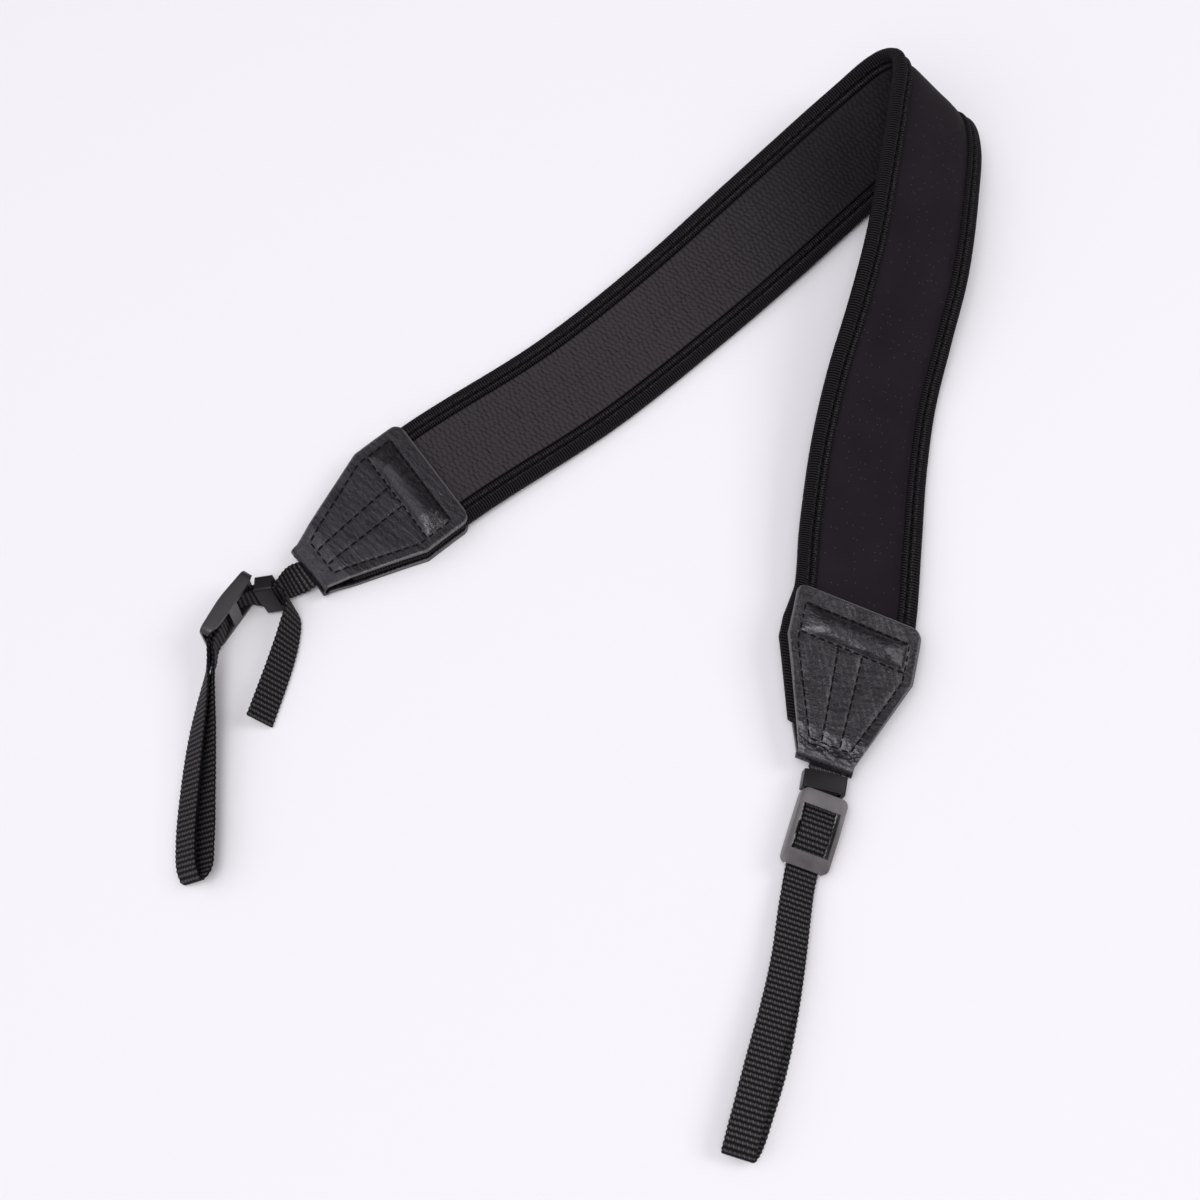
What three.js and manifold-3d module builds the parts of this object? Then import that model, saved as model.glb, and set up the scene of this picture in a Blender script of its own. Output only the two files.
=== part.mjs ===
import * as THREE from "three";
import { mergeVertices } from "three/addons/utils/BufferGeometryUtils.js";
import Module from "manifold-3d";

const wasm = await Module();
wasm.setup();

// A padded camera neck strap lying on a floor at z = 0, folded over into a V. Millimetres, +Z up.

// Moves the laid-out strap so that the origin is under the middle of its box, on the floor.
const originShift = { x: -0.55, y: -6.97, z: 0 };

// Gap kept between pieces that touch.
const seat = 0.3;

// Padded band: foam, lining on the grip side, and a tape folded round each long edge.
const bandHalf = 20;
const foamHalf = 1.2;
const foamCrown = 2.1;
const foamCrownStart = 1.3;
const gripHalf = 0.9;
const liningThick = 1.0;
const liningColumns = 4;
const tapeWall = 1.0;
const tapeReach = 6.4;
const tapeRound = 1.9;
const tapeShoulder = { across: 0.25, out: 0.5 };
const tapeHollow = 0.7;
const foamRound = 0.8;
const stepsPerSection = 3;

// The band section by section, from the left tip to the right tip: centre of the section,
// swing, the bearing of the line across the band from its lower edge to its upper edge,
// and rise, the slope of that line above the floor, in degrees.
const bandSections = [
  { x: -93.2, y: 5.4, z: 4.3, swing: 127, rise: 0 },
  { x: -52.4, y: 40.9, z: 4.5, swing: 126, rise: 1 },
  { x: -6.6, y: 75.0, z: 3.0, swing: 130, rise: 1 },
  { x: 27.6, y: 105.1, z: 3.9, swing: 132.5, rise: 4 },
  { x: 56.6, y: 132.1, z: 7.5, swing: 134.5, rise: 14.5 },
  { x: 80.9, y: 156.1, z: 9.2, swing: 135.5, rise: 20 },
  { x: 93.3, y: 167.3, z: 11.6, swing: 136.5, rise: 27.5 },
  { x: 101.5, y: 174.3, z: 14.8, swing: 141.5, rise: 38 },
  { x: 105.4, y: 176.6, z: 16.9, swing: 148, rise: 45.5 },
  { x: 108.9, y: 176.5, z: 19.7, swing: 160.5, rise: 49 },
  { x: 111.0, y: 172.3, z: 22.3, swing: 169, rise: 44.5 },
  { x: 111.0, y: 161.4, z: 23.9, swing: 172.5, rise: 36.5 },
  { x: 107.8, y: 138.9, z: 23.5, swing: 172.5, rise: 31.5 },
  { x: 102.5, y: 110.9, z: 21.0, swing: 171.5, rise: 29 },
  { x: 96.5, y: 89.4, z: 16.2, swing: 171.5, rise: 29 },
  { x: 90.2, y: 68.2, z: 11.1, swing: 171, rise: 25.5 },
  { x: 85.4, y: 45.9, z: 9.1, swing: 171.5, rise: 19.5 },
  { x: 81.3, y: 17.7, z: 8.4, swing: 170, rise: 13 },
  { x: 78.4, y: -6.3, z: 7.8, swing: 160.5, rise: 10 },
  { x: 65.6, y: -58.5, z: 6.0, swing: 159.5, rise: 4 },
];

// End caps: one leather sheet folded at its narrow waist over the end of the band.
// Reach runs from the wide edge towards the waist and half is half the width there.
// The leather's middle stands off the middle of the band by lift on the upper flap, which is
// puffed between its seams, and by rest on the flap that lies on the floor.
const leatherThick = 1.1;
const capFlap = [
  { reach: 0, half: 17.0, lift: 3.5, rest: 3.5 },
  { reach: 1.1, half: 19.5, lift: 3.5, rest: 3.5 },
  { reach: 3.6, half: 20.6, lift: 3.5, rest: 3.5 },
  { reach: 5.5, half: 20.6, lift: 3.7, rest: 3.5 },
  { reach: 9.5, half: 20.6, lift: 4.2, rest: 3.5 },
  { reach: 14.5, half: 20.6, lift: 3.5, rest: 3.5 },
  { reach: 17.5, half: 20.6, lift: 3.7, rest: 3.5 },
  { reach: 26.0, half: 17.4, lift: 3.8, rest: 3.5 },
  { reach: 36.0, half: 13.7, lift: 3.7, rest: 3.5 },
  { reach: 42.0, half: 11.5, lift: 3.4, rest: 3.4 },
  { reach: 46.0, half: 10.0, lift: 2.5, rest: 2.5 },
  { reach: 49.0, half: 8.9, lift: 2.1, rest: 2.1 },
];
const foldSteps = 6;
const capColumns = 4;
// The right cap sits off the middle of the band, whose upper edge flares out beside it.
const capAcross = { left: 0, right: -0.8 };
const bandInset = 0.5;
const bandStraight = 5.5;
const bandFlare = { left: { upper: 0, lower: 0 }, right: { upper: 1.8, lower: 0 } };
const flareLength = 11;
const bandReach = 41;
const liningReach = 36;
const slitHalf = 7.2;
const slitHeight = 2.4;
const slitFrom = 46;
const slitTo = 54;

// Narrow webbing, one length at each end of the band.
const webHalf = 5;
const webThick = 1.2;
const webRound = 0.6;
const layerPitch = webThick + seat;
const stepsPerBend = 2;

// Keepers: flat sleeves round both layers of the webbing.
const keeperWidth = 13.4;
const keeperDepth = 5.4;
const keeperLength = 5.5;
const keeperCorner = 0.9;
const sleeveWidth = 11.2;
const sleeveDepth = 3.5;
const sleeveMouth = 0.4;
const sleeveCorner = 0.3;

// Sliding buckles: a frame with a centre bar at the back and an end bar at the front of each end.
const glideWidth = 14.6;
const glideLength = 23.8;
const glideCorner = 2.2;
const windowWidth = 11.8;
const windowLength = 14.2;
const barLength = 4;
const glideBack = -2.6;
const backFlat = 8;
const endBack = -1.5;
const barFront = -1.2;
const endBarBack = 0.6;
const endFront = 1.4;
const railFront = 2.2;
const railFlat = 1.5;

// Where the hardware lies: heading and pitch of the side towards the cap, roll of the width over
// the floor, and face, 1 where the front of the buckle is up or -1 where it is turned over.
const hardware = {
  keeper_left: { x: -101.9, y: -1.1, z: 7.6, heading: 4, pitch: 12, roll: 78, face: -1 },
  triglide_left: { x: -114.3, y: -6.4, z: 7.3, heading: 58.5, pitch: 0, roll: 90, face: -1 },
  keeper_right: { x: 66.9, y: -61.3, z: 4.9, heading: 79, pitch: 0, roll: 8, face: 1 },
  triglide_right: { x: 63.5, y: -76.2, z: 5.4, heading: 71.7, pitch: 4, roll: 12, face: 1 },
};

// How the two layers of webbing thread a buckle, from its cap side to its loop side.
const straightThread = [
  { outerAlong: 10.6, outer: -0.3, innerAlong: 10.6, inner: -1.8 },
  { outerAlong: 7.5, outer: -0.3, innerAlong: 7.5, inner: -1.8 },
  { outerAlong: 2.2, outer: 1.2, innerAlong: 2.2, inner: -0.3 },
  { outerAlong: -2.2, outer: 1.2, innerAlong: -2.2, inner: -0.3 },
  { outerAlong: -7.5, outer: -0.3, innerAlong: -7.5, inner: -1.8 },
  { outerAlong: -12.2, outer: -0.3, innerAlong: -12.2, inner: -1.8 },
];
// The left buckle is turned on the webbing, so the layers leave it through the slot.
const turnedThread = [
  { outerAlong: 7.5, outer: -1.6, innerAlong: 6.4, inner: -2.6 },
  { outerAlong: 5.3, outer: 0.2, innerAlong: 4.2, inner: -0.9 },
  { outerAlong: 2.2, outer: 1.2, innerAlong: 1.9, inner: -0.25 },
  { outerAlong: -2.2, outer: 1.0, innerAlong: -2.2, inner: -0.5 },
  { outerAlong: -7.5, outer: -0.9, innerAlong: -7.5, inner: -2.4 },
  { outerAlong: -12.2, outer: -1.9, innerAlong: -12.2, inner: -3.4 },
];

// Free runs of the webbing, with the band's columns.
const leftLoop = [
  { x: -119.3, y: -22.6, z: 7.0, swing: 0, rise: 84 },
  { x: -120.1, y: -31.0, z: 6.4, swing: 0, rise: 68 },
  { x: -121.6, y: -45.0, z: 5.4, swing: 0, rise: 54 },
  { x: -122.6, y: -62.0, z: 4.7, swing: 0, rise: 47 },
  { x: -122.7, y: -80.0, z: 4.4, swing: 0, rise: 45 },
  { x: -121.6, y: -88.0, z: 4.4, swing: 0, rise: 45 },
  { x: -119.8, y: -91.0, z: 4.4, swing: 0, rise: 45 },
  { x: -117.6, y: -88.4, z: 4.4, swing: 0, rise: 45 },
  { x: -117.2, y: -80.0, z: 4.4, swing: 0, rise: 45 },
  { x: -117.9, y: -62.0, z: 4.7, swing: 0, rise: 47 },
  { x: -118.4, y: -45.0, z: 5.4, swing: 0, rise: 54 },
  { x: -118.5, y: -31.0, z: 6.4, swing: 0, rise: 68 },
  { x: -117.75, y: -22.4, z: 7.0, swing: 0, rise: 84 },
];
const leftTail = [
  { x: -97.2, y: -1.7, z: 6.8, swing: 125, rise: 76 },
  { x: -95.0, y: -6.2, z: 5.8, swing: 150, rise: 66 },
  { x: -95.6, y: -12.4, z: 5.1, swing: 158, rise: 55 },
  { x: -97.6, y: -21.3, z: 4.4, swing: 162, rise: 47 },
  { x: -103.3, y: -41.2, z: 3.9, swing: 164, rise: 42 },
];
const leftTwist = [{ x: -95.8, y: 3.6, z: 5.6, swing: 124, rise: 45 }];
const rightLoop = [
  { x: 57.4, y: -96.9, z: 4.8, swing: 162, rise: 9 },
  { x: 54.1, y: -115.3, z: 6.3, swing: 163, rise: 6 },
  { x: 50.6, y: -129.0, z: 7.3, swing: 163, rise: 5 },
  { x: 46.6, y: -142.0, z: 7.9, swing: 163, rise: 5 },
  { x: 42.8, y: -155.0, z: 7.9, swing: 163, rise: 4 },
  { x: 39.6, y: -166.0, z: 7.2, swing: 163, rise: 3 },
  { x: 38.7, y: -169.8, z: 4.2, swing: 163, rise: 2 },
  { x: 40.8, y: -167.0, z: 1.4, swing: 163, rise: 2 },
  { x: 44.6, y: -157.0, z: 0.9, swing: 163, rise: 1 },
  { x: 48.6, y: -145.0, z: 0.9, swing: 163, rise: 1 },
  { x: 52.0, y: -131.0, z: 0.9, swing: 163, rise: 1 },
  { x: 55.0, y: -115.0, z: 0.9, swing: 163, rise: 2 },
  { x: 57.6, y: -98.0, z: 2.1, swing: 162, rise: 8 },
];
// The short right tail lies under the cap: reach along the cap and drop below the band's middle.
const rightTail = [
  { reach: 50.2, drop: 3.8 },
  { reach: 45, drop: 4.6 },
  { reach: 37, drop: 5.1 },
];
// The webbing leaves each cap through its slit, off the middle of the right one.
const webbingInCap = [43, 47, 51];
const webbingAcross = { left: 0, right: -1.5 };

// Colour and roughness of each material.
const finishes = {
  neoprene: { color: 0x252125, roughness: 0.9 },
  grip: { color: 0x322e2e, roughness: 0.7 },
  binding: { color: 0x141315, roughness: 0.8 },
  leather: { color: 0x2b2a2e, roughness: 0.5 },
  webbing: { color: 0x1b1a1b, roughness: 0.85 },
  plastic: { color: 0x343236, roughness: 0.45 },
};

const degrees = THREE.MathUtils.degToRad;

// A point of a route with the unit vector across the strip there.
function laid({ x, y, z, swing, rise }) {
  const flat = Math.cos(degrees(rise));
  const rib = new THREE.Vector3(
    flat * Math.cos(degrees(swing)),
    flat * Math.sin(degrees(swing)),
    Math.sin(degrees(rise)),
  );
  return { centre: new THREE.Vector3(x, y, z), rib };
}

// Smooth route through rows of centre and rib, measured along the chords between the rows.
function routeThrough(rows) {
  const knots = [0];
  rows.slice(1).forEach((row, i) => {
    knots.push(knots[i] + row.centre.distanceTo(rows[i].centre));
  });
  const values = rows.flatMap((row) => [...row.centre, ...row.rib]);
  const spline = new THREE.CubicInterpolant(knots, values, 6);
  const length = knots[knots.length - 1];
  const centreAt = (s) => new THREE.Vector3(...spline.evaluate(s).slice(0, 3));
  const frameAt = (s) => {
    const reach = 0.4;
    const ahead = centreAt(Math.min(s + reach, length));
    const along = ahead.sub(centreAt(Math.max(s - reach, 0))).normalize();
    const sample = spline.evaluate(s);
    const centre = new THREE.Vector3(...sample.slice(0, 3));
    const rib = new THREE.Vector3(...sample.slice(3, 6)).normalize();
    const normal = new THREE.Vector3().crossVectors(along, rib).normalize();
    return { centre, rib, normal };
  };
  return { knots, length, frameAt };
}

// Places along a route from one distance to another, with the same number of steps in each section.
function stationsAlong(route, from, to, steps) {
  const inner = route.knots.slice(1).flatMap((knot, i) => {
    const start = route.knots[i];
    return Array.from({ length: steps }, (_, k) => start + ((knot - start) * k) / steps);
  });
  const shortest = 0.5;
  const kept = inner.filter((s) => s > from + shortest && s < to - shortest);
  return [from, ...kept, to];
}

function pointOn(frame, across, out) {
  return frame.centre.clone().addScaledVector(frame.rib, across).addScaledVector(frame.normal, out);
}

// Indexed geometry from points and triangles, with its faces turned outwards.
function closedGeometry(points, triangles) {
  let volume = 0;
  for (let i = 0; i < triangles.length; i += 3) {
    const [a, b, c] = [0, 1, 2].map((k) => points[triangles[i + k]]);
    volume += a.dot(new THREE.Vector3().crossVectors(b, c));
  }
  if (volume < 0) triangles.reverse();
  const geometry = new THREE.BufferGeometry().setFromPoints(points);
  geometry.setIndex(triangles);
  geometry.computeVertexNormals();
  return geometry;
}

// Solid through rings of points; the outline says how each end face is divided.
function loft(rings, outline) {
  const count = outline.length;
  const triangles = [];
  for (let i = 0; i + 1 < rings.length; i++) {
    for (let j = 0; j < count; j++) {
      const [a, b] = [i * count + j, i * count + ((j + 1) % count)];
      triangles.push(a, b, b + count, a, b + count, a + count);
    }
  }
  const last = (rings.length - 1) * count;
  const clockwise = THREE.ShapeUtils.isClockWise(outline);
  for (const [a, b, c] of THREE.ShapeUtils.triangulateShape(outline, [])) {
    const [first, second] = clockwise ? [b, c] : [c, b];
    triangles.push(a, first, second, last + a, last + second, last + first);
  }
  return closedGeometry(rings.flat(), triangles);
}

// Strip of a section that may change along a route.
function strip(route, stations, outlineAt) {
  const rings = stations.map((s) => {
    const frame = route.frameAt(s);
    return outlineAt(s).map((p) => pointOn(frame, p.x, p.y));
  });
  return loft(rings, outlineAt(stations[0]));
}

const outlineOf = (pairs) => pairs.map(([x, y]) => new THREE.Vector2(x, y));

// The band and how far along it the caps start.
const band = routeThrough(bandSections.map(laid));
const leftEdge = band.knots[1];
const rightEdge = band.knots[band.knots.length - 2];
const capStart = { left: leftEdge, right: rightEdge };
const capTurn = { left: -1, right: 1 };
const capUp = { left: 1, right: -1 };
const placeInCap = (end, reach) => capStart[end] + capTurn[end] * reach;

function capRow(reach) {
  const next = capFlap.findIndex((row) => row.reach >= reach);
  if (next < 1) return next < 0 ? capFlap[capFlap.length - 1] : capFlap[0];
  const [low, high] = [capFlap[next - 1], capFlap[next]];
  const share = (reach - low.reach) / (high.reach - low.reach);
  return { half: THREE.MathUtils.lerp(low.half, high.half, share) };
}

// Half the width of the band on one side, which narrows inside the caps.
function halfAt(s, side) {
  const [end, reach] = s < leftEdge ? ["left", leftEdge - s] : ["right", s - rightEdge];
  const narrowed = reach > bandStraight ? capRow(reach).half - bandInset : bandHalf;
  const flared = THREE.MathUtils.clamp(reach / flareLength, 0, 1);
  return Math.min(bandHalf, narrowed) + bandFlare[end][side > 0 ? "upper" : "lower"] * flared;
}

function foamOutline(s) {
  const side = (k) => {
    const edge = halfAt(s, k) - tapeWall - seat;
    const bare = halfAt(s, k) - tapeReach - seat;
    return [
      [k * (bare - foamCrownStart), -foamCrown],
      [k * bare, -foamHalf],
      [k * (edge - foamRound), -foamHalf],
      [k * edge, foamRound - foamHalf],
      [k * edge, foamHalf - foamRound],
      [k * (edge - foamRound), foamHalf],
      [k * (bare + seat), foamHalf],
      [k * bare, gripHalf],
    ];
  };
  return outlineOf([...side(1), ...side(-1).reverse()]);
}

function liningOutline(s) {
  const [low, high] = [-1, 1].map((k) => k * (halfAt(s, k) - tapeReach - seat));
  const row = Array.from({ length: liningColumns + 1 }, (_, j) =>
    THREE.MathUtils.lerp(low, high, j / liningColumns),
  );
  const base = gripHalf + seat;
  return outlineOf([
    ...row.map((x) => [x, base]),
    ...row.reverse().map((x) => [x, base + liningThick]),
  ]);
}

function tapeOutline(s, side) {
  const edge = halfAt(s, side);
  const inner = foamHalf + seat;
  const outer = inner + tapeWall;
  const half = [
    [edge - tapeWall, inner - tapeHollow],
    [edge - tapeWall - tapeHollow, inner],
    [edge - tapeReach, inner],
    [edge - tapeReach, outer],
    [edge - tapeRound, outer],
    [edge - tapeShoulder.across * tapeRound, outer - tapeShoulder.out * tapeRound],
    [edge, outer - tapeRound],
  ];
  const mirrored = half.map(([x, y]) => [x, -y]).reverse();
  return outlineOf([...half, ...mirrored].map(([x, y]) => [side * x, y]));
}

// Leather cap: front flap, fold and back flap as rows of a sheet, with a slit for the webbing.
function capGeometry(end) {
  const waist = capFlap[capFlap.length - 1];
  const rows = capFlap.map((row) => ({ ...row, out: row.lift, tilt: 0 }));
  for (let k = 1; k < foldSteps; k++) {
    const turn = (Math.PI * k) / foldSteps;
    rows.push({
      reach: waist.reach + waist.lift * Math.sin(turn),
      half: waist.half,
      out: waist.lift * Math.cos(turn),
      tilt: turn,
    });
  }
  [...capFlap].reverse().forEach((row) => rows.push({ ...row, out: -row.rest, tilt: Math.PI }));
  const skin = (side) => rows.map((row) => {
    const offset = (side * leatherThick) / 2;
    const reach = row.reach + offset * Math.sin(row.tilt);
    const out = row.out + offset * Math.cos(row.tilt);
    const frame = band.frameAt(THREE.MathUtils.clamp(placeInCap(end, reach), 0, band.length));
    return Array.from({ length: capColumns + 1 }, (_, j) =>
      pointOn(frame, capAcross[end] + row.half * ((2 * j) / capColumns - 1), capUp[end] * out),
    );
  });
  const [outside, inside] = [skin(1), skin(-1)];
  const rings = rows.map((_, i) => [...outside[i], ...[...inside[i]].reverse()]);
  const outline = outlineOf([
    ...outside[0].map((_, j) => [j, 1]),
    ...inside[0].map((_, j) => [capColumns - j, 0]),
  ]);
  return loft(rings, outline);
}

function slitGeometry(end) {
  const outline = outlineOf([
    [-slitHalf, -slitHeight / 2],
    [slitHalf, -slitHeight / 2],
    [slitHalf, slitHeight / 2],
    [-slitHalf, slitHeight / 2],
  ]);
  const rings = [slitFrom, slitTo].map((reach) => {
    const frame = band.frameAt(THREE.MathUtils.clamp(placeInCap(end, reach), 0, band.length));
    return outline.map((p) => pointOn(frame, p.x, p.y));
  });
  return loft(rings, outline);
}

function solidOf(geometry) {
  const plain = geometry.clone();
  plain.deleteAttribute("normal");
  plain.deleteAttribute("uv");
  const merged = mergeVertices(plain, 1e-4);
  return new wasm.Manifold(
    new wasm.Mesh({
      numProp: 3,
      vertProperties: new Float32Array(merged.attributes.position.array),
      triVerts: new Uint32Array(merged.index.array),
    }),
  );
}

function geometryOf(solid) {
  const mesh = solid.getMesh();
  const geometry = new THREE.BufferGeometry();
  geometry.setAttribute("position", new THREE.BufferAttribute(mesh.vertProperties, 3));
  geometry.setIndex(new THREE.BufferAttribute(mesh.triVerts, 1));
  geometry.computeVertexNormals();
  return geometry;
}

function roundedRectangle(width, height, corner) {
  const shape = new THREE.Shape();
  const [x, y] = [width / 2, height / 2];
  shape.moveTo(corner - x, -y);
  shape.lineTo(x - corner, -y);
  shape.absarc(x - corner, corner - y, corner, -Math.PI / 2, 0);
  shape.absarc(x - corner, y - corner, corner, 0, Math.PI / 2);
  shape.absarc(corner - x, y - corner, corner, Math.PI / 2, Math.PI);
  shape.absarc(corner - x, corner - y, corner, Math.PI, 1.5 * Math.PI);
  return shape;
}

// Axes of a piece of hardware: across the webbing, along it towards the cap, and out of its front.
function axesOf({ heading, pitch, roll, face }) {
  const level = new THREE.Vector3(-Math.sin(degrees(heading)), Math.cos(degrees(heading)), 0);
  const along = new THREE.Vector3(level.y, -level.x, 0).applyAxisAngle(level, -degrees(pitch));
  const across = level.clone().applyAxisAngle(along, degrees(roll));
  const front = new THREE.Vector3().crossVectors(along, across).multiplyScalar(face);
  return { across, along, front };
}

// Row of a route inside a piece of hardware.
function threaded(name, along, depth) {
  const place = hardware[name];
  const axes = axesOf(place);
  const centre = new THREE.Vector3(place.x, place.y, place.z);
  centre.addScaledVector(axes.along, along).addScaledVector(axes.front, depth);
  return { centre, rib: axes.across };
}

function inCap(end, reach, drop) {
  const frame = band.frameAt(placeInCap(end, reach));
  return { centre: pointOn(frame, webbingAcross[end], drop), rib: frame.rib };
}

// Webbing from the cap through keeper and buckle, round the loop and back to its tail.
function webbingRoute(end, thread, twist, loop, tail) {
  const [keeper, glide] = [`keeper_${end}`, `triglide_${end}`];
  const mouth = keeperLength / 2 + sleeveMouth;
  const layer = layerPitch / 2;
  return routeThrough([
    ...webbingInCap.map((reach) => inCap(end, reach, 0)),
    ...twist.map(laid),
    threaded(keeper, mouth, layer),
    threaded(keeper, -mouth, layer),
    ...thread.map((row) => threaded(glide, row.outerAlong, row.outer)),
    ...loop.map(laid),
    ...[...thread].reverse().map((row) => threaded(glide, row.innerAlong, row.inner)),
    threaded(keeper, -mouth, -layer),
    threaded(keeper, mouth, -layer),
    ...tail,
  ]);
}

const webOutline = outlineOf([
  [webHalf, 0],
  [webHalf - webRound, webThick / 2],
  [webRound - webHalf, webThick / 2],
  [-webHalf, 0],
  [webRound - webHalf, -webThick / 2],
  [webHalf - webRound, -webThick / 2],
]);

function webbingGeometry(route) {
  return strip(route, stationsAlong(route, 0, route.length, stepsPerBend), () => webOutline);
}

function keeperGeometry() {
  const shape = roundedRectangle(keeperWidth, keeperDepth, keeperCorner);
  shape.holes.push(roundedRectangle(sleeveWidth, sleeveDepth, sleeveCorner));
  const options = { depth: keeperLength, bevelEnabled: false, curveSegments: 3 };
  const geometry = new THREE.ExtrudeGeometry(shape, options);
  geometry.translate(0, 0, -keeperLength / 2);
  return geometry.rotateX(-Math.PI / 2);
}

function box(width, length, back, front) {
  const geometry = new THREE.BoxGeometry(width, length, front - back);
  return geometry.translate(0, 0, (back + front) / 2);
}

function glideGeometry() {
  const plan = new THREE.ExtrudeGeometry(
    roundedRectangle(glideWidth, glideLength, glideCorner),
    { depth: railFront - glideBack, bevelEnabled: false, curveSegments: 4 },
  ).translate(0, 0, glideBack);
  const end = glideLength / 2;
  const past = 1;
  const profile = new THREE.Shape(outlineOf([
    [-end - past, endBack],
    [-end, endBack],
    [-backFlat, glideBack],
    [backFlat, glideBack],
    [end, endBack],
    [end + past, endBack],
    [end + past, endFront],
    [end, endFront],
    [railFlat, railFront],
    [-railFlat, railFront],
    [-end, endFront],
    [-end - past, endFront],
  ]));
  const sides = new THREE.ExtrudeGeometry(profile, { depth: 2 * glideWidth, bevelEnabled: false });
  sides.translate(0, 0, -glideWidth).rotateX(Math.PI / 2).rotateZ(Math.PI / 2);
  const opening = box(windowWidth, windowLength, glideBack - past, railFront + past);
  const channel = box(windowWidth, 2 * glideLength, glideBack - past, endBarBack);
  const bar = box(windowWidth + 2 * past, barLength, glideBack, barFront);
  const frame = solidOf(plan).intersect(solidOf(sides));
  const open = frame.subtract(solidOf(opening)).subtract(solidOf(channel));
  return geometryOf(open.add(solidOf(bar)));
}

const strap = new THREE.Group();
strap.position.set(originShift.x, originShift.y, originShift.z);

function addPiece(name, geometry, material) {
  const mesh = new THREE.Mesh(geometry, new THREE.MeshStandardMaterial(finishes[material]));
  mesh.name = name;
  strap.add(mesh);
  return mesh;
}

const bandStations = (reach) =>
  stationsAlong(band, placeInCap("left", reach), placeInCap("right", reach), stepsPerSection);

addPiece("neoprene_pad", strip(band, bandStations(bandReach), foamOutline), "neoprene");
addPiece("grip_lining", strip(band, bandStations(liningReach), liningOutline), "grip");
for (const [name, side] of [["binding_upper", 1], ["binding_lower", -1]]) {
  addPiece(name, strip(band, bandStations(bandReach), (s) => tapeOutline(s, side)), "binding");
}

for (const end of ["left", "right"]) {
  const folded = solidOf(capGeometry(end)).subtract(solidOf(slitGeometry(end)));
  addPiece(`end_cap_${end}`, geometryOf(folded), "leather");
}

const leftRoute = webbingRoute("left", turnedThread, leftTwist, leftLoop, leftTail.map(laid));
const rightRoute = webbingRoute(
  "right",
  straightThread,
  [],
  rightLoop,
  rightTail.map((row) => inCap("right", row.reach, row.drop)),
);
addPiece("webbing_left", webbingGeometry(leftRoute), "webbing");
addPiece("webbing_right", webbingGeometry(rightRoute), "webbing");

for (const [name, place] of Object.entries(hardware)) {
  const geometry = name.startsWith("keeper") ? keeperGeometry() : glideGeometry();
  const { across, along, front } = axesOf(place);
  const piece = addPiece(name, geometry, "plastic");
  const right = new THREE.Vector3().crossVectors(along, front);
  piece.quaternion.setFromRotationMatrix(new THREE.Matrix4().makeBasis(right, along, front));
  piece.position.set(place.x, place.y, place.z);
}

export default strap;
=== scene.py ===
import bmesh
import bpy
import math
import numpy as np
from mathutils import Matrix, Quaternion, Vector


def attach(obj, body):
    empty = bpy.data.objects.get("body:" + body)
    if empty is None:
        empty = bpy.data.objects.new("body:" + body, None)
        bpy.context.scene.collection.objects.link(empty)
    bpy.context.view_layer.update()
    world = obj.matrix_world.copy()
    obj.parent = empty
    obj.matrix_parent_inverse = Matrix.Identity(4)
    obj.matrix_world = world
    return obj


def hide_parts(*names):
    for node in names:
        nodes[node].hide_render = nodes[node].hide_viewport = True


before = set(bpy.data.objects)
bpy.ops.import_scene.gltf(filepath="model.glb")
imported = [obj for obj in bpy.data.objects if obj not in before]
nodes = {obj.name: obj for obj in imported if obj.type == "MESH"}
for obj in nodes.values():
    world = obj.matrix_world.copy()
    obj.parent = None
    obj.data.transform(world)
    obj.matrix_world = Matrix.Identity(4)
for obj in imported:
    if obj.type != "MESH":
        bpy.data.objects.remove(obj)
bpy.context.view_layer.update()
scene = bpy.context.scene
print("frame loaded:", len(nodes), "nodes")

# lengths are millimetres until addPiece makes a mesh of them, and metres in the studio
toMetres = 0.001
origin = np.array([-0.55, -6.97, 0.0])  # where the laid-out strap's own zero lies in the frame
seat = 0.3  # gap kept between pieces

camera = {"tilt": 68.0, "distance": 650.0, "focal": 2080.0, "picture": 1200.0, "near": 0.01, "far": 20.0}


def makeCamera():
    tilt = math.radians(camera["tilt"])
    back = Vector((0, -math.cos(tilt), math.sin(tilt)))
    data = bpy.data.cameras.new("viewCamera")
    data.angle = 2 * math.atan(camera["picture"] / 2 / camera["focal"])
    data.clip_start = camera["near"]
    data.clip_end = camera["far"]
    made = bpy.data.objects.new("viewCamera", data)
    made.location = (Vector(origin) + back * camera["distance"]) * toMetres
    made.rotation_mode = "QUATERNION"
    made.rotation_quaternion = (-back).to_track_quat("-Z", "Y")
    scene.collection.objects.link(made)
    scene.camera = made


makeCamera()
print("camera set")


# routes: rows of centre and rib, joined by a smooth curve through every row

def unit(vectors):
    return vectors / np.linalg.norm(vectors, axis=-1, keepdims=True)


def layRows(rows):  # x, y, z, swing, rise to centre and rib
    table = np.array(rows, float)
    swing = np.radians(table[:, 3])
    rise = np.radians(table[:, 4])
    rib = np.stack([np.cos(rise) * np.cos(swing), np.cos(rise) * np.sin(swing), np.sin(rise)], axis=1)
    return np.hstack([table[:, :3], rib])


def makeRoute(values):
    steps = np.linalg.norm(np.diff(values[:, :3], axis=0), axis=1)
    slopes = np.diff(values, axis=0) / steps[:, None]
    inner = (slopes[1:] + slopes[:-1]) / 2
    return {
        "knots": np.concatenate([[0], np.cumsum(steps)]),
        "values": values,
        "slopes": np.vstack([slopes[:1], inner, slopes[-1:]]),
    }


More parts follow.
